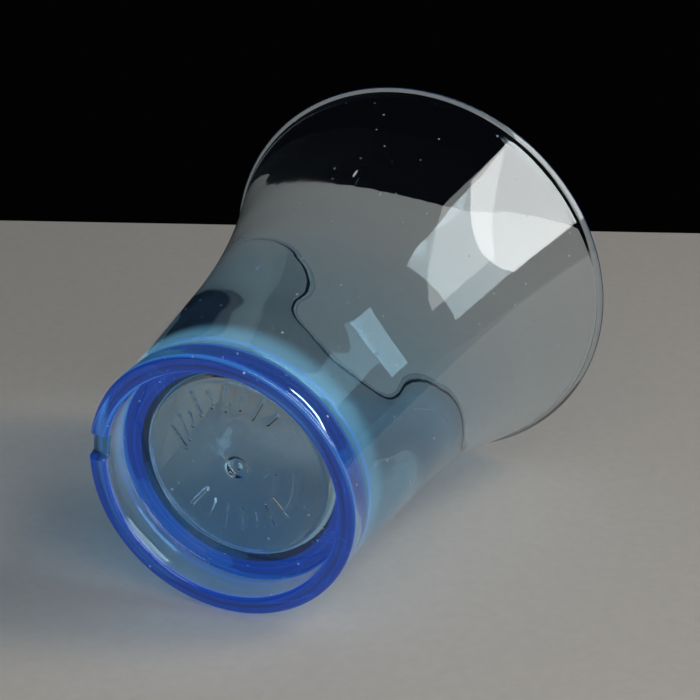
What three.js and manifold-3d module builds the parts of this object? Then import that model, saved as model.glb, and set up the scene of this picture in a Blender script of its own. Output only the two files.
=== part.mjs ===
// Small tulip-shaped dose cup, one clear tinted plastic moulding.
// Millimetres, +Z up. The origin is the centre of the ring that the cup stands on.
import * as THREE from 'three';
import * as BufferGeometryUtils from 'three/addons/utils/BufferGeometryUtils.js';
import Module from 'manifold-3d';

const wasm = await Module();
wasm.setup();

// ---------------------------------------------------------------- driving dimensions
const HEIGHT = 47.5;              // standing face to the top of the lip
const FOOT_RADIUS = 13.5;         // outside of the standing ring
const MOUTH_RADIUS = 20.9;        // outside of the lip
const DRAFT = 0.073;              // widening of the straight lower wall, mm per mm
const FLARE_START = 18.7;         // height where the wall begins to curve outwards
const LIP_WALL = 1.1;             // wall thickness at the lip
const SKIRT_RADIUS_IN = 11.75;    // inside of the standing ring
const RECESS_DEPTH = 3.8;         // how far the underside lies above the standing face
const FLOOR_THICKNESS = 1.3;      // floor between the recess and the inside
const WELL_RADIUS = 9.7;          // inside radius just above the floor
const INSIDE_CORNER = 0.9;        // radius between the inside floor and the wall
const EDGE_ROUND = 0.45;          // rounding of the standing ring's edges
const SEGMENTS = 60;              // facets round the cup
const WALL_STEPS = 14;            // facets up each face of the wall

// gate mark in the middle of the underside
const GATE_RADIUS = 1.3;          // shallow dimple left round the injection point
const GATE_DEPTH = 0.45;
const GATE_NUB_RADIUS = 0.4;
const GATE_NUB_HEIGHT = 0.25;

// vent notch through the standing ring, which lets air out from under the cup
const NOTCH_WIDTH = 2.4;
const NOTCH_DEPTH = 0.9;
const NOTCH_ANGLE = THREE.MathUtils.degToRad(-125);

// ---------------------------------------------------------------- curves
const wallBase = FOOT_RADIUS - 0.4;       // straight wall carried down to height zero
const floorTop = RECESS_DEPTH + FLOOR_THICKNESS;

/** Outside radius of the wall at a height: a slight cone, then a parabolic flare. */
function outsideRadius(z) {
  const cone = wallBase + DRAFT * z;
  const flareGain = MOUTH_RADIUS - (wallBase + DRAFT * HEIGHT);
  const t = Math.max(0, (z - FLARE_START) / (HEIGHT - FLARE_START));
  return cone + flareGain * t * t;
}

// Inside face of the wall, radius and height: a tapered well with a thick wall round it,
// which opens at mid height into the thin flared mouth.
const insideCurve = new THREE.SplineCurve([
  new THREE.Vector2(WELL_RADIUS, floorTop + INSIDE_CORNER),
  new THREE.Vector2(10.25, 11),
  new THREE.Vector2(10.85, 16),
  new THREE.Vector2(12, 21),
  new THREE.Vector2(13.55, 26),
  new THREE.Vector2(14.8, 31),
  new THREE.Vector2(17.05, 39),
  new THREE.Vector2(MOUTH_RADIUS - LIP_WALL, HEIGHT - LIP_WALL / 2),
]);

/** Points of an arc in the profile plane, angles in degrees from the outward direction. */
function arc(centreR, centreZ, radius, fromDeg, toDeg, steps) {
  const points = [];
  for (let i = 0; i <= steps; i += 1) {
    const angle = THREE.MathUtils.degToRad(fromDeg + ((toDeg - fromDeg) * i) / steps);
    points.push(new THREE.Vector2(centreR + radius * Math.cos(angle), centreZ + radius * Math.sin(angle)));
  }
  return points;
}

/** Points up the outside face of the wall between two heights. */
function outsideLine(fromZ, toZ) {
  const points = [];
  for (let i = 0; i <= WALL_STEPS; i += 1) {
    const z = THREE.MathUtils.lerp(fromZ, toZ, i / WALL_STEPS);
    points.push(new THREE.Vector2(outsideRadius(z), z));
  }
  return points;
}

// ---------------------------------------------------------------- profile
/** Closed half section of the cup, from the underside's centre round to the inside floor. */
function cupProfile() {
  const lipRound = LIP_WALL / 2;
  const lipZ = HEIGHT - lipRound;
  const cornerR = WELL_RADIUS - INSIDE_CORNER;
  const cornerZ = floorTop + INSIDE_CORNER;
  return [
    new THREE.Vector2(0, RECESS_DEPTH),
    new THREE.Vector2(SKIRT_RADIUS_IN, RECESS_DEPTH),
    ...arc(SKIRT_RADIUS_IN + EDGE_ROUND, EDGE_ROUND, EDGE_ROUND, 180, 270, 3),
    ...arc(FOOT_RADIUS - EDGE_ROUND, EDGE_ROUND, EDGE_ROUND, 270, 360, 3),
    ...outsideLine(floorTop, lipZ - lipRound),
    ...arc(MOUTH_RADIUS - lipRound, lipZ, lipRound, 0, 180, 6),
    ...insideCurve.getPoints(WALL_STEPS * 2).reverse().slice(1, -1),
    ...arc(cornerR, cornerZ, INSIDE_CORNER, 0, -90, 4),
    new THREE.Vector2(0, floorTop),
  ];
}

// ---------------------------------------------------------------- solids and cuts
/** Turns a closed three.js geometry into a solid that can be cut. */
function toSolid(geometry) {
  const bare = geometry.clone();
  bare.deleteAttribute('normal');
  bare.deleteAttribute('uv');
  const merged = BufferGeometryUtils.mergeVertices(bare, 1e-4);
  const mesh = new wasm.Mesh({
    numProp: 3,
    vertProperties: Float32Array.from(merged.attributes.position.array),
    triVerts: Uint32Array.from(merged.index.array),
  });
  return new wasm.Manifold(mesh);
}

/** Turns a cut solid back into a three.js geometry. */
function toGeometry(solid) {
  const mesh = solid.getMesh();
  const geometry = new THREE.BufferGeometry();
  geometry.setAttribute('position', new THREE.BufferAttribute(mesh.vertProperties, 3));
  geometry.setIndex(new THREE.BufferAttribute(mesh.triVerts, 1));
  geometry.computeVertexNormals();
  return geometry;
}

/** Solid made by turning a profile, listed anticlockwise in the (radius, height) plane. */
function turned(profile) {
  const lathe = new THREE.LatheGeometry(profile, SEGMENTS);
  lathe.rotateX(Math.PI / 2);
  return toSolid(lathe);
}

/** Block that opens the vent notch through the standing ring. */
function notchCutter() {
  const length = 6;
  const block = new THREE.BoxGeometry(length, NOTCH_WIDTH, NOTCH_DEPTH * 2);
  block.translate(FOOT_RADIUS, 0, 0);
  block.rotateZ(NOTCH_ANGLE);
  return toSolid(block);
}

/** Shallow dimple round the injection point. */
function gateDimple() {
  const dimple = new THREE.CylinderGeometry(GATE_RADIUS * 0.6, GATE_RADIUS, GATE_DEPTH * 2, 24);
  dimple.rotateX(Math.PI / 2);
  dimple.translate(0, 0, RECESS_DEPTH);
  return toSolid(dimple);
}

/** Broken-off stub of the sprue in the middle of the dimple. */
function gateNub() {
  const overlap = 0.3;
  const nub = new THREE.CylinderGeometry(GATE_NUB_RADIUS, GATE_NUB_RADIUS, GATE_NUB_HEIGHT + overlap, 16);
  nub.rotateX(Math.PI / 2);
  nub.translate(0, 0, RECESS_DEPTH + GATE_DEPTH + (overlap - GATE_NUB_HEIGHT) / 2);
  return toSolid(nub);
}

// ---------------------------------------------------------------- the cup
function cupBody() {
  const solid = turned(cupProfile())
    .subtract(notchCutter())
    .subtract(gateDimple())
    .add(gateNub());
  const material = new THREE.MeshStandardMaterial({
    color: 0x6f9fd8,
    roughness: 0.08,
    metalness: 0,
    transparent: true,
    opacity: 0.45,
  });
  const mesh = new THREE.Mesh(toGeometry(solid), material);
  mesh.name = 'cup_body';
  return mesh;
}

const cup = new THREE.Group();
cup.name = 'dose_cup';
cup.add(cupBody());

export default cup;
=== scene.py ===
"""Clear blue-tinted cup lying on its side on a pale board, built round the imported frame."""
import math

import bpy
from mathutils import Matrix, Vector


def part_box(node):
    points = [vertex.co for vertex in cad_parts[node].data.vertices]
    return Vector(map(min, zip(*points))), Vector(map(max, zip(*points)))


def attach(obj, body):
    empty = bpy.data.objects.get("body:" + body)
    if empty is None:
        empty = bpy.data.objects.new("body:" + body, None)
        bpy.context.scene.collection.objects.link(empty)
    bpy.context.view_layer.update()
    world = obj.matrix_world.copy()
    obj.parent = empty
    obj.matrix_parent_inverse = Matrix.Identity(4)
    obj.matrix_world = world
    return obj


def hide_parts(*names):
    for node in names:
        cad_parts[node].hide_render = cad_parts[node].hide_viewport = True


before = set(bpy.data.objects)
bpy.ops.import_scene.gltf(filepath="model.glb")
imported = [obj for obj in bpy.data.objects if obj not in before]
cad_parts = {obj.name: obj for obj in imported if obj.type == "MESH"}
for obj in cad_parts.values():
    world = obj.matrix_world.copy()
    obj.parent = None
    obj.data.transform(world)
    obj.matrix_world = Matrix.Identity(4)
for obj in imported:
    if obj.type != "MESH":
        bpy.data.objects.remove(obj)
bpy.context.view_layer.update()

MM = 0.001
CUP_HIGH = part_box("cup_body")[1]
HEIGHT = CUP_HIGH[2]
MOUTH_RADIUS = CUP_HIGH[0]

# ------------------------------------------------------------------ cup sizes, as in the CAD part
FOOT_RADIUS = 13.5 * MM
DRAFT = 0.073
FLARE_START = 18.7 * MM
LIP_WALL = 1.1 * MM
SKIRT_RADIUS_IN = 11.75 * MM
RECESS_DEPTH = 3.8 * MM
FLOOR_THICKNESS = 1.3 * MM
FLOOR_TOP = RECESS_DEPTH + FLOOR_THICKNESS
WELL_RADIUS = 9.7 * MM
INSIDE_CORNER = 0.9 * MM
EDGE_ROUND = 0.45 * MM
FOOT_STEP = 0.4 * MM
WALL_BASE = FOOT_RADIUS - FOOT_STEP
FOOT_STRAIGHT = 1.5 * MM
RECESS_CORNER = 0.35 * MM
INSIDE_POINTS = [
    (WELL_RADIUS, FLOOR_TOP + INSIDE_CORNER),
    (10.25 * MM, 11 * MM),
    (10.85 * MM, 16 * MM),
    (12.0 * MM, 21 * MM),
    (13.55 * MM, 26 * MM),
    (14.8 * MM, 31 * MM),
    (17.05 * MM, 39 * MM),
    (MOUTH_RADIUS - LIP_WALL, HEIGHT - LIP_WALL / 2),
]

# gate mark, vent notch and moulded marks of the underside
GATE_RADIUS = 1.3 * MM
GATE_DEPTH = 0.45 * MM
GATE_FLAT = 0.6                   # share of the dimple's radius that is flat
GATE_NUB_RADIUS = 0.4 * MM
GATE_NUB_HEIGHT = 0.25 * MM
GATE_NUB_FLAT = 0.5
NOTCH_WIDTH = 2.4 * MM
NOTCH_DEPTH = 0.9 * MM
NOTCH_ANGLE = math.radians(-125)
NOTCH_BLEND = 0.25 * MM
NOTCH_REACH = 2.6 * MM
PANEL_RADIUS = 9.0 * MM
PANEL_STEP = 0.10 * MM
PANEL_BLEND = 0.12 * MM
MARKS_FROM = 2 * MM
MARK_HEIGHT = 0.20 * MM
MARK_HALF_WIDTH = 0.16 * MM
MARK_FLANK = (0.5, 1.6)           # half widths from a mark's middle to its flank's start and end

# surface of the plastic: its own colour, a slight ripple, and haze where it was handled
REFRACTIVE_INDEX = 1.57
PLASTIC_COLOUR = (0.97, 0.985, 1.0, 1)
RIPPLE_SCALE = 260.0
RIPPLE_STRENGTH = 0.03
RIPPLE_HEIGHT = 0.2 * MM
HAZE_SCALE = 90.0
HAZE_NOISE = (0.45, 0.75)
HAZE_ROUGHNESS = (0.01, 0.07)

# tint of the plastic, per metre of depth, and painted light: a glow painted inside the plastic, a
# painted blue glow at its edges with the streaks that vary it, and a painted highlight round the
# foot
TINT_DENSITY = 138.0
TINT_COLOUR = (0.0, 0.56, 0.80, 1)
PAINTED_INNER_GLOW = (1.2, 1.4, 2.2, 1)
PAINTED_EDGE_GLOW = (0.001, 0.022, 0.22, 1)
PAINTED_FOOT_HIGHLIGHT = (0.055, 0.16, 0.24, 1)
STREAKS_PER_METRE = 1800.0
STREAK_NOISE = (0.3, 0.7)
STREAK_STRENGTH = (0.35, 1.3)
SHADOW_TINT = (0.50, 0.58, 0.66, 1)

# where the painted edge glow and the painted foot highlight lie: each pair is where one starts and
# where it is full
RING_FACE_HEIGHTS = (0.9 * MM, 0.2 * MM)
UNDERSIDE_REACH = (0.4 * MM, 0.2 * MM)
UNDERSIDE_RADII = (WELL_RADIUS + 0.1 * MM, WELL_RADIUS + 0.4 * MM)
FOOT_RISE_HEIGHTS = (2.0 * MM, 3.4 * MM)
FOOT_FALL_HEIGHTS = (7.0 * MM, 4.6 * MM)
FOOT_SKIN_RADII = (SKIRT_RADIUS_IN + 0.8 * MM, SKIRT_RADIUS_IN + 1.0 * MM)

# dust on the wall: round specks, and hairs that bend from a straight line
DUST_COLOUR = (0.45, 0.45, 0.46, 1)
SPECK_CELLS = 600.0
SPECK_SIZE = 0.07
SPECK_SHARE = 0.6
HAIR_CELLS = 360.0
HAIR_SIZE = 0.045
HAIR_SHARE = 0.4
HAIR_STRETCH = 0.14
HAIR_WANDER = 0.8 * MM
HAIR_WANDER_SCALE = 160.0
DRIFT_SCALE = 220.0
DRIFT_NOISE = (0.35, 0.65)

# mesh fineness
SEGMENTS = 480
FLOOR_RING_STEP = 0.15 * MM
WALL_RINGS = 90
FACE_STEPS = 12
RECESS_CORNER_STEPS = 6
EDGE_ROUND_STEPS = 8
LIP_STEPS = 16
INSIDE_CORNER_STEPS = 12
CURVED_DASH_STEPS = 5
EDGE_TOLERANCE = 0.01 * MM


# ------------------------------------------------------------------ profile of the cup
def outside_radius(z):
    """Outside radius of the wall: a slight cone, then a parabolic flare."""
    cone = WALL_BASE + DRAFT * z
    gain = MOUTH_RADIUS - (WALL_BASE + DRAFT * HEIGHT)
    t = max(0.0, (z - FLARE_START) / (HEIGHT - FLARE_START))
    return cone + gain * t * t


def spline(points, count):
    """Uniform Catmull-Rom curve through the points, in count equal steps."""
    last = len(points) - 1
    curve = []
    for step in range(count + 1):
        place = step / count * last
        i = min(int(place), last - 1)
        t = place - i
        p0, p1 = points[max(i - 1, 0)], points[i]
        p2, p3 = points[i + 1], points[min(i + 2, last)]
        pair = []
        for a, b, c, d in zip(p0, p1, p2, p3):
            v0, v1 = (c - a) / 2, (d - b) / 2
            pair.append(
                (2 * b - 2 * c + v0 + v1) * t ** 3
                + (-3 * b + 3 * c - 2 * v0 - v1) * t ** 2
                + v0 * t + b
            )
        curve.append(tuple(pair))
    return curve


def arc(centre_r, centre_z, radius, start, end, steps):
    """Points of an arc in the profile plane, angles in degrees from the outward direction."""
    points = []
    for i in range(steps + 1):
        angle = math.radians(start + (end - start) * i / steps)
        points.append((centre_r + radius * math.cos(angle), centre_z + radius * math.sin(angle)))
    return points


def smooth_step(edge0, edge1, x):
    """Smooth 0 to 1 as x goes from edge0 to edge1."""
    t = min(1.0, max(0.0, (x - edge0) / (edge1 - edge0)))
    return t * t * (3 - 2 * t)


def underside_height(r):
    """Height of the underside at a radius: panel edge, gate dimple and the nub in it."""
    rim = PANEL_STEP * smooth_step(PANEL_RADIUS - PANEL_BLEND, PANEL_RADIUS + PANEL_BLEND, r)
    dimple = GATE_DEPTH * (1 - smooth_step(GATE_FLAT * GATE_RADIUS, GATE_RADIUS, r))
    nub_flat = GATE_NUB_FLAT * GATE_NUB_RADIUS
    nub = GATE_NUB_HEIGHT * (1 - smooth_step(nub_flat, GATE_NUB_RADIUS, r))
    return RECESS_DEPTH + rim + dimple - nub


def cup_profile():
    """Closed half section, from the underside's centre out, up, over the lip and back in."""
    lip = LIP_WALL / 2
    recess_edge = SKIRT_RADIUS_IN - RECESS_CORNER
    recess_side = RECESS_DEPTH + PANEL_STEP - RECESS_CORNER
    floor_edge = WELL_RADIUS - INSIDE_CORNER
    profile = []
    rings = int(recess_edge / FLOOR_RING_STEP)
    for i in range(1, rings + 1):
        r = recess_edge * i / rings
        profile.append((r, underside_height(r)))
    profile += arc(recess_edge, recess_side, RECESS_CORNER, 90, 0, RECESS_CORNER_STEPS)[1:]
    for i in range(1, FACE_STEPS):
        profile.append((SKIRT_RADIUS_IN, recess_side - (recess_side - EDGE_ROUND) * i / FACE_STEPS))
    for centre, start in ((SKIRT_RADIUS_IN + EDGE_ROUND, 180), (FOOT_RADIUS - EDGE_ROUND, 270)):
        profile += arc(centre, EDGE_ROUND, EDGE_ROUND, start, start + 90, EDGE_ROUND_STEPS)
    for i in range(WALL_RINGS + 1):
        z = FOOT_STRAIGHT + (HEIGHT - LIP_WALL - FOOT_STRAIGHT) * i / WALL_RINGS
        blend = smooth_step(FOOT_STRAIGHT, FLOOR_TOP, z)
        profile.append((FOOT_RADIUS * (1 - blend) + outside_radius(z) * blend, z))
    profile += arc(MOUTH_RADIUS - lip, HEIGHT - lip, lip, 0, 180, LIP_STEPS)
    profile += spline(INSIDE_POINTS, WALL_RINGS)[::-1][1:-1]
    corner_z = FLOOR_TOP + INSIDE_CORNER
    profile += arc(floor_edge, corner_z, INSIDE_CORNER, 0, -90, INSIDE_CORNER_STEPS)
    for i in range(1, FACE_STEPS):
        profile.append((floor_edge * (1 - i / FACE_STEPS), FLOOR_TOP))
    return profile


# ------------------------------------------------------------------ moulded marks, no lettering
def mark_strokes():
    """Strokes on the underside as line segments in metres: groups of bars and two curved dashes.
    Radii and lengths are given in millimetres, and angles in degrees round the axis."""
    strokes = []

    def bars(radius, middle, pitch, lengths, slant):
        for i, length in enumerate(lengths):
            turn = math.radians(middle + pitch * (i - (len(lengths) - 1) / 2))
            out = Vector((math.cos(turn), math.sin(turn)))
            along = Vector((math.cos(turn + slant), math.sin(turn + slant)))
            centre = out * radius * MM
            strokes.append((centre - along * length / 2 * MM, centre + along * length / 2 * MM))

    def curved_dash(radius, start, end):
        for i in range(CURVED_DASH_STEPS):
            a = math.radians(start + (end - start) * i / CURVED_DASH_STEPS)
            b = math.radians(start + (end - start) * (i + 1) / CURVED_DASH_STEPS)
            strokes.append((
                Vector((math.cos(a), math.sin(a))) * radius * MM,
                Vector((math.cos(b), math.sin(b))) * radius * MM,
            ))

    bars(radius=7.2, middle=-42, pitch=13, lengths=[2.2, 1.4, 2.2, 1.4, 2.2, 1.4], slant=0.15)
    bars(radius=6.2, middle=-100, pitch=12, lengths=[2.4, 2.4, 1.2], slant=0.6)
    bars(radius=5.6, middle=160, pitch=16, lengths=[2.0, 2.6, 2.0, 2.6], slant=-0.1)
    bars(radius=5.4, middle=110, pitch=17, lengths=[2.4, 2.4, 1.4, 2.4], slant=0.25)
    curved_dash(radius=6.0, start=40, end=82)
    curved_dash(radius=4.0, start=46, end=78)
    return strokes


def distance_to(point, stroke):
    """Distance from a point to the nearest point of a stroke."""
    a, b = stroke
    span = b - a
    t = max(0.0, min(1.0, (point - a).dot(span) / span.length_squared))
    return (point - a - span * t).length


def mark_relief(x, y, strokes):
    """How far the marks stand down from the underside at a point."""
    point = Vector((x, y))
    nearest = min(distance_to(point, stroke) for stroke in strokes)
    flank_start, flank_end = (reach * MARK_HALF_WIDTH for reach in MARK_FLANK)
    return MARK_HEIGHT * (1 - smooth_step(flank_start, flank_end, nearest))


def notch_lift(r, angle):
    """Share of the vent notch's depth at an angle round the standing ring."""
    off = abs((angle - NOTCH_ANGLE + math.pi) % (2 * math.pi) - math.pi) * r
    half_width, half_blend = NOTCH_WIDTH / 2, NOTCH_BLEND / 2
    return 1 - smooth_step(half_width - half_blend, half_width + half_blend, off)


# ------------------------------------------------------------------ the cup's mesh
def build_cup():
    """The whole cup as one closed mesh: rings of the profile turned about the axis."""
    profile = cup_profile()
    strokes = mark_strokes()
    marked = {i for i, p in enumerate(profile) if p[0] <= PANEL_RADIUS and p[1] < FLOOR_TOP - MM}
    vertices = [(0, 0, underside_height(0))]
    for i, (r, z) in enumerate(profile):
        for k in range(SEGMENTS):
            angle = 2 * math.pi * k / SEGMENTS
            x, y = r * math.cos(angle), r * math.sin(angle)
            height = z
            if i in marked and r > MARKS_FROM:
                height -= mark_relief(x, y, strokes)
            elif r > SKIRT_RADIUS_IN - EDGE_TOLERANCE and z < NOTCH_REACH:
                lift = NOTCH_DEPTH * notch_lift(r, angle)
                height = lift + z * (1 - lift / NOTCH_REACH)
            vertices.append((x, y, height))
    top_pole = len(vertices)
    vertices.append((0, 0, FLOOR_TOP))

    def ring(i, k):
        return 1 + i * SEGMENTS + k % SEGMENTS

    faces = [(0, ring(0, k + 1), ring(0, k)) for k in range(SEGMENTS)]
    for i in range(len(profile) - 1):
        for k in range(SEGMENTS):
            faces.append((ring(i, k), ring(i, k + 1), ring(i + 1, k + 1), ring(i + 1, k)))
    last = len(profile) - 1
    faces += [(ring(last, k), ring(last, k + 1), top_pole) for k in range(SEGMENTS)]
    mesh = bpy.data.meshes.new("clear_cup")
    mesh.from_pydata(vertices, [], faces)
    mesh.shade_smooth()
    cup = bpy.data.objects.new("clear_cup", mesh)
    bpy.context.collection.objects.link(cup)
    return cup


# ------------------------------------------------------------------ materials
def node(tree, kind, **values):
    """New node in the tree, with its inputs or its settings given by name."""
    made = tree.nodes.new(kind)
    for name, value in values.items():
        if name in made.inputs:
            made.inputs[name].default_value = value
        else:
            setattr(made, name, value)
    return made


def ramp(tree, value, start, end):
    """Smooth 0 to 1 between two values; it runs down when end is the smaller."""
    made = node(tree, "ShaderNodeMapRange", interpolation_type="SMOOTHSTEP")
    made.inputs["From Min"].default_value = min(start, end)
    made.inputs["From Max"].default_value = max(start, end)
    made.inputs["To Min"].default_value = 0.0 if start < end else 1.0
    made.inputs["To Max"].default_value = 1.0 if start < end else 0.0
    tree.links.new(value, made.inputs["Value"])
    return made.outputs["Result"]


def times(tree, first, second):
    """Product of two values."""
    made = node(tree, "ShaderNodeMath", operation="MULTIPLY")
    tree.links.new(first, made.inputs[0])
    tree.links.new(second, made.inputs[1])
    return made.outputs["Value"]


def scattered(tree, vector, scale, size, share):
    """Mask of small dots, one in each cell of a share of the cells."""
    cells = node(tree, "ShaderNodeTexVoronoi", Scale=scale)
    tree.links.new(vector, cells.inputs["Vector"])
    near = node(tree, "ShaderNodeMath", operation="LESS_THAN")
    near.inputs[1].default_value = size
    tree.links.new(cells.outputs["Distance"], near.inputs[0])
    parts = node(tree, "ShaderNodeSeparateColor")
    tree.links.new(cells.outputs["Color"], parts.inputs["Color"])
    few = node(tree, "ShaderNodeMath", operation="LESS_THAN")
    few.inputs[1].default_value = share
    tree.links.new(parts.outputs["Red"], few.inputs[0])
    return times(tree, near.outputs["Value"], few.outputs["Value"])


def highest(tree, first, second):
    """The larger of two values."""
    made = node(tree, "ShaderNodeMath", operation="MAXIMUM")
    tree.links.new(first, made.inputs[0])
    tree.links.new(second, made.inputs[1])
    return made.outputs["Value"]


def spread_out(tree, value, stretch, target):
    """Moves the value's stretch, from low to high, in a straight line to the target's."""
    made = node(tree, "ShaderNodeMapRange")
    made.inputs["From Min"].default_value, made.inputs["From Max"].default_value = stretch
    made.inputs["To Min"].default_value, made.inputs["To Max"].default_value = target
    tree.links.new(value, made.inputs["Value"])
    return made.outputs["Result"]


def noise(tree, vector, scale, detail):
    """Noise texture at a vector, with its Fac and Color outputs."""
    made = node(tree, "ShaderNodeTexNoise", Scale=scale, Detail=detail)
    tree.links.new(vector, made.inputs["Vector"])
    return made


def added(tree, first, second):
    """Sum of two shaders."""
    made = node(tree, "ShaderNodeAddShader")
    tree.links.new(first, made.inputs[0])
    tree.links.new(second, made.inputs[1])
    return made.outputs["Shader"]


def mixed(tree, share, first, second):
    """First shader where the share is 0, second where it is 1."""
    made = node(tree, "ShaderNodeMixShader")
    tree.links.new(share, made.inputs["Fac"])
    tree.links.new(first, made.inputs[1])
    tree.links.new(second, made.inputs[2])
    return made.outputs["Shader"]


def emission(tree, colour, strength=None):
    """Emitted light, as strong as a value says or 1 without one."""
    made = node(tree, "ShaderNodeEmission", Strength=1.0)
    made.inputs["Color"].default_value = colour
    if strength is not None:
        tree.links.new(strength, made.inputs["Strength"])
    return made.outputs["Emission"]


def moulded_surface(tree, position):
    """Clear glossy plastic with a slight ripple and patchy handling haze."""
    body = node(tree, "ShaderNodeBsdfPrincipled", IOR=REFRACTIVE_INDEX)
    body.inputs["Transmission Weight"].default_value = 1.0
    body.inputs["Base Color"].default_value = PLASTIC_COLOUR
    ripple = noise(tree, position, RIPPLE_SCALE, detail=2.0)
    bump = node(tree, "ShaderNodeBump", Strength=RIPPLE_STRENGTH, Distance=RIPPLE_HEIGHT)
    tree.links.new(ripple.outputs["Fac"], bump.inputs["Height"])
    tree.links.new(bump.outputs["Normal"], body.inputs["Normal"])
    smudge = noise(tree, position, HAZE_SCALE, detail=4.0)
    haze = spread_out(tree, smudge.outputs["Fac"], HAZE_NOISE, HAZE_ROUGHNESS)
    tree.links.new(haze, body.inputs["Roughness"])
    return body.outputs["BSDF"]


def dust_shader(tree):
    """Dust is lit from either side, so it stays pale against the light too."""
    sides = []
    for kind in ("ShaderNodeBsdfDiffuse", "ShaderNodeBsdfTranslucent"):
        side = node(tree, kind)
        side.inputs["Color"].default_value = DUST_COLOUR
        sides.append(side.outputs["BSDF"])
    return added(tree, *sides)


def dust_cover(tree, position):
    """Where dust lies: specks and short bent hairs, in drifts."""
    specks = scattered(tree, position, SPECK_CELLS, SPECK_SIZE, SPECK_SHARE)
    wander = noise(tree, position, HAIR_WANDER_SCALE, detail=1.0)
    bend = node(tree, "ShaderNodeVectorMath", operation="MULTIPLY_ADD")
    bend.inputs[1].default_value = (HAIR_WANDER, HAIR_WANDER, HAIR_WANDER)
    tree.links.new(wander.outputs["Color"], bend.inputs[0])
    tree.links.new(position, bend.inputs[2])
    stretch = node(tree, "ShaderNodeMapping")
    stretch.inputs["Scale"].default_value = (1.0, 1.0, HAIR_STRETCH)
    tree.links.new(bend.outputs["Vector"], stretch.inputs["Vector"])
    hairs = scattered(tree, stretch.outputs["Vector"], HAIR_CELLS, HAIR_SIZE, HAIR_SHARE)
    drifts = noise(tree, position, DRIFT_SCALE, detail=1.0)
    settled = ramp(tree, drifts.outputs["Fac"], *DRIFT_NOISE)
    return times(tree, highest(tree, specks, hairs), settled)


def radius_and_height(tree, position):
    """Distance from the cup's axis and height above the standing face."""
    axes = node(tree, "ShaderNodeSeparateXYZ")
    tree.links.new(position, axes.inputs["Vector"])
    flat = node(tree, "ShaderNodeCombineXYZ")
    tree.links.new(axes.outputs["X"], flat.inputs["X"])
    tree.links.new(axes.outputs["Y"], flat.inputs["Y"])
    radius = node(tree, "ShaderNodeVectorMath", operation="LENGTH")
    tree.links.new(flat.outputs["Vector"], radius.inputs[0])
    return radius.outputs["Value"], axes.outputs["Z"]


def painted_edge_glow(tree, radius, height):
    """Painted blue glow, in streaks, on the standing ring's face and round the underside's edge,
    where the plastic glows though it is no lamp.
    """
    ring_face = ramp(tree, height, *RING_FACE_HEIGHTS)
    below = ramp(tree, height, *(RECESS_DEPTH + reach for reach in UNDERSIDE_REACH))
    above = ramp(tree, height, *(RECESS_DEPTH - reach for reach in UNDERSIDE_REACH))
    outer = ramp(tree, radius, *UNDERSIDE_RADII)
    underside_edge = times(tree, times(tree, below, above), outer)
    across = node(tree, "ShaderNodeMath", operation="MULTIPLY")
    across.inputs[1].default_value = STREAKS_PER_METRE
    tree.links.new(radius, across.inputs[0])
    streaks = node(tree, "ShaderNodeTexNoise", Scale=1.0, Detail=2.0, noise_dimensions="1D")
    tree.links.new(across.outputs["Value"], streaks.inputs["W"])
    rings = spread_out(tree, streaks.outputs["Fac"], STREAK_NOISE, STREAK_STRENGTH)
    return emission(tree, PAINTED_EDGE_GLOW, times(tree, highest(tree, ring_face, underside_edge), rings))


def painted_foot_highlight(tree, position, radius, height):
    """Painted highlight: a glowing paler band round the outside of the foot, strongest on its upper
    side.
    """
    rise = ramp(tree, height, *FOOT_RISE_HEIGHTS)
    fall = ramp(tree, height, *FOOT_FALL_HEIGHTS)
    skin = ramp(tree, radius, *FOOT_SKIN_RADII)
    # the painted highlight is strongest on the side turned away from the board, the cup's upper
    # side as it lies
    upward = node(tree, "ShaderNodeVectorMath", operation="DOT_PRODUCT")
    upward.inputs[1].default_value = (math.sin(BOARD_AZIMUTH), -math.cos(BOARD_AZIMUTH), 0.0)
    tree.links.new(position, upward.inputs[0])
    lit_side = ramp(tree, upward.outputs["Value"], -FOOT_RADIUS, FOOT_RADIUS)
    band = times(tree, times(tree, rise, fall), skin)
    return emission(tree, PAINTED_FOOT_HIGHLIGHT, times(tree, band, lit_side))


def clear_blue_plastic():
    """Moulded clear plastic: blue deep in the thick parts from its tint and a glow painted inside
    it, painted glows at its edges and foot, dust and hairs on the surface.
    """
    material = bpy.data.materials.new("clear_blue_plastic")
    material.use_nodes = True
    tree = material.node_tree
    tree.nodes.clear()
    out = node(tree, "ShaderNodeOutputMaterial")
    position = node(tree, "ShaderNodeTexCoord").outputs["Object"]
    radius, height = radius_and_height(tree, position)

    dusty = mixed(
        tree, dust_cover(tree, position), moulded_surface(tree, position), dust_shader(tree),
    )
    clear = node(tree, "ShaderNodeBsdfTransparent")
    clear.inputs["Color"].default_value = SHADOW_TINT
    shadow_ray = node(tree, "ShaderNodeLightPath").outputs["Is Shadow Ray"]
    surface = mixed(tree, shadow_ray, dusty, clear.outputs["BSDF"])
    # painted light on the surface: the painted edge glow and the painted foot highlight, both
    # emission though the cup is no lamp
    glow = added(tree, painted_edge_glow(tree, radius, height), painted_foot_highlight(tree, position, radius, height))
    tree.links.new(added(tree, surface, glow), out.inputs["Surface"])

    tint = node(tree, "ShaderNodeVolumeAbsorption", Density=TINT_DENSITY)
    tint.inputs["Color"].default_value = TINT_COLOUR
    # painted glow: light emitted evenly inside the plastic, added to the tint's absorption
    depth = added(tree, tint.outputs["Volume"], emission(tree, PAINTED_INNER_GLOW))
    tree.links.new(depth, out.inputs["Volume"])
    return material


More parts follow.
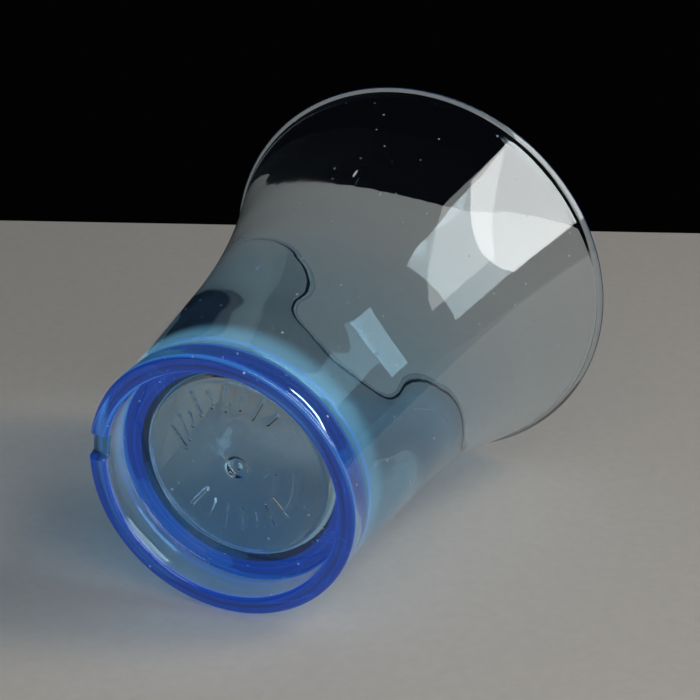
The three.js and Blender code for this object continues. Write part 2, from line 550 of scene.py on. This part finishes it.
def board_material():
    """Pale matt board, seen only from the side that the cup lies on."""
    material = bpy.data.materials.new("pale_board")
    material.use_nodes = True
    tree = material.node_tree
    tree.nodes.clear()
    out = node(tree, "ShaderNodeOutputMaterial")
    position = node(tree, "ShaderNodeTexCoord").outputs["Object"]
    grain = noise(tree, position, BOARD_GRAIN_SCALE, detail=3.0)
    shade = node(tree, "ShaderNodeValToRGB")
    for stop, colour in zip(shade.color_ramp.elements, BOARD_COLOURS):
        stop.color = colour
    tree.links.new(grain.outputs["Fac"], shade.inputs["Fac"])
    matt = node(tree, "ShaderNodeBsdfPrincipled", Roughness=BOARD_ROUGHNESS)
    tree.links.new(shade.outputs["Color"], matt.inputs["Base Color"])
    clear = node(tree, "ShaderNodeBsdfTransparent")
    under_side = node(tree, "ShaderNodeNewGeometry").outputs["Backfacing"]
    surface = mixed(tree, under_side, matt.outputs["BSDF"], clear.outputs["BSDF"])
    tree.links.new(surface, out.inputs["Surface"])
    return material


# ------------------------------------------------------------------ camera
CAMERA_AZIMUTH = math.radians(85)
CAMERA_ELEVATION = math.radians(-53.15)
CAMERA_DISTANCE = 0.2475
CAMERA_LENS = 128.6
SENSOR_WIDTH = 36
NEAREST_SEEN = 1 * MM
AIM = Vector((0.0020, 0.0002, 0.5555 * HEIGHT))

# faint grey of the unlit room behind the board
DARK_ROOM = (0.0007, 0.0007, 0.0007, 1)

# the board touches the standing ring and the lip, so it leans by the cup's taper
BOARD_AZIMUTH = math.radians(45)
BOARD_LEAN = math.atan((MOUTH_RADIUS - FOOT_RADIUS) / HEIGHT)
BOARD_GAP = 0.05 * MM
BOARD_FAR = 0.106
BOARD_TURN = math.radians(-3.7)
BOARD_HALF_WIDTH = 0.45
BOARD_NEAR = 0.60
BOARD_COLOURS = [(0.50, 0.485, 0.465, 1), (0.58, 0.565, 0.54, 1)]
BOARD_GRAIN_SCALE = 900.0
BOARD_ROUGHNESS = 0.75


def direction(azimuth, elevation):
    """Unit vector towards a viewer at an azimuth and elevation, azimuth 0 on the -Y side."""
    flat = math.cos(elevation)
    return Vector((math.sin(azimuth) * flat, -math.cos(azimuth) * flat, math.sin(elevation)))


board_up = direction(BOARD_AZIMUTH, BOARD_LEAN)
to_camera = direction(CAMERA_AZIMUTH, CAMERA_ELEVATION)
view_right = board_up.cross(to_camera).normalized()
board_away = view_right.cross(board_up) * -1


def aimed(name, data, position, target, up):
    """Object at a position, looking at a target, with its own Y towards up."""
    made = bpy.data.objects.new(name, data)
    bpy.context.collection.objects.link(made)
    back = (position - target).normalized()
    right = up.cross(back).normalized()
    top = back.cross(right)
    made.matrix_world = Matrix((
        (right.x, top.x, back.x, position.x),
        (right.y, top.y, back.y, position.y),
        (right.z, top.z, back.z, position.z),
        (0, 0, 0, 1),
    ))
    return made


def make_camera():
    data = bpy.data.cameras.new("camera")
    data.sensor_width = SENSOR_WIDTH
    data.lens = CAMERA_LENS
    data.clip_start = NEAREST_SEEN
    camera = aimed("camera", data, AIM + to_camera * CAMERA_DISTANCE, AIM, board_up)
    bpy.context.scene.camera = camera


def make_board():
    """Flat board under the lying cup, with a straight far edge."""
    touch = -board_up * (FOOT_RADIUS * math.cos(BOARD_LEAN) + BOARD_GAP)
    centre = AIM - board_up * (AIM - touch).dot(board_up)
    side = view_right * math.cos(BOARD_TURN) + board_away * math.sin(BOARD_TURN)
    far = centre + board_away * BOARD_FAR
    near = centre - board_away * BOARD_NEAR
    corners = [
        near - view_right * BOARD_HALF_WIDTH,
        near + view_right * BOARD_HALF_WIDTH,
        far + side * BOARD_HALF_WIDTH,
        far - side * BOARD_HALF_WIDTH,
    ]
    mesh = bpy.data.meshes.new("board")
    mesh.from_pydata(corners, [], [(0, 1, 2, 3)])
    board = bpy.data.objects.new("board", mesh)
    board.data.materials.append(board_material())
    bpy.context.collection.objects.link(board)


def softbox(name, side, height, spread, tall, distance, radiance, colour):
    """Flat light panel aimed at the cup. Side is degrees to the right of the camera, height degrees
    above the board, and spread and tall are the degrees that it fills as seen from the cup."""
    level = (to_camera - board_up * to_camera.dot(board_up)).normalized()
    turn, lift = math.radians(side), math.radians(height)
    flat = view_right * math.sin(turn) + level * math.cos(turn)
    data = bpy.data.lights.new(name, "AREA")
    data.shape = "RECTANGLE"
    data.size = 2 * distance * math.tan(math.radians(spread) / 2)
    data.size_y = 2 * distance * math.tan(math.radians(tall) / 2)
    data.energy = radiance * math.pi * data.size * data.size_y
    data.color = colour
    place = AIM + (flat * math.cos(lift) + board_up * math.sin(lift)) * distance
    aimed(name, data, place, AIM, board_up)


def make_lights():
    """A tall window and its curtain to the right, a low window nearer the camera, and the room."""
    softbox(
        "window", side=88, height=35, spread=16, tall=46, distance=0.9,
        radiance=5.8, colour=(1.0, 0.97, 0.94),
    )
    softbox(
        "curtain", side=101.5, height=41, spread=11, tall=34, distance=0.9,
        radiance=2.4, colour=(0.95, 1.0, 1.0),
    )
    softbox(
        "low_window", side=32, height=17, spread=34, tall=18, distance=0.40,
        radiance=4.0, colour=(1.0, 0.93, 0.84),
    )
    softbox(
        "room", side=5, height=36, spread=46, tall=30, distance=0.27,
        radiance=2.0, colour=(1.0, 0.98, 0.94),
    )
    world = bpy.data.worlds.new("studio")
    bpy.context.scene.world = world
    world.use_nodes = True
    world.node_tree.nodes["Background"].inputs["Color"].default_value = DARK_ROOM
    bpy.context.scene.view_settings.view_transform = "Standard"


make_camera()
make_board()
make_lights()

clear_cup = build_cup()
clear_cup.data.materials.append(clear_blue_plastic())
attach(clear_cup, "root")
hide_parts("cup_body")
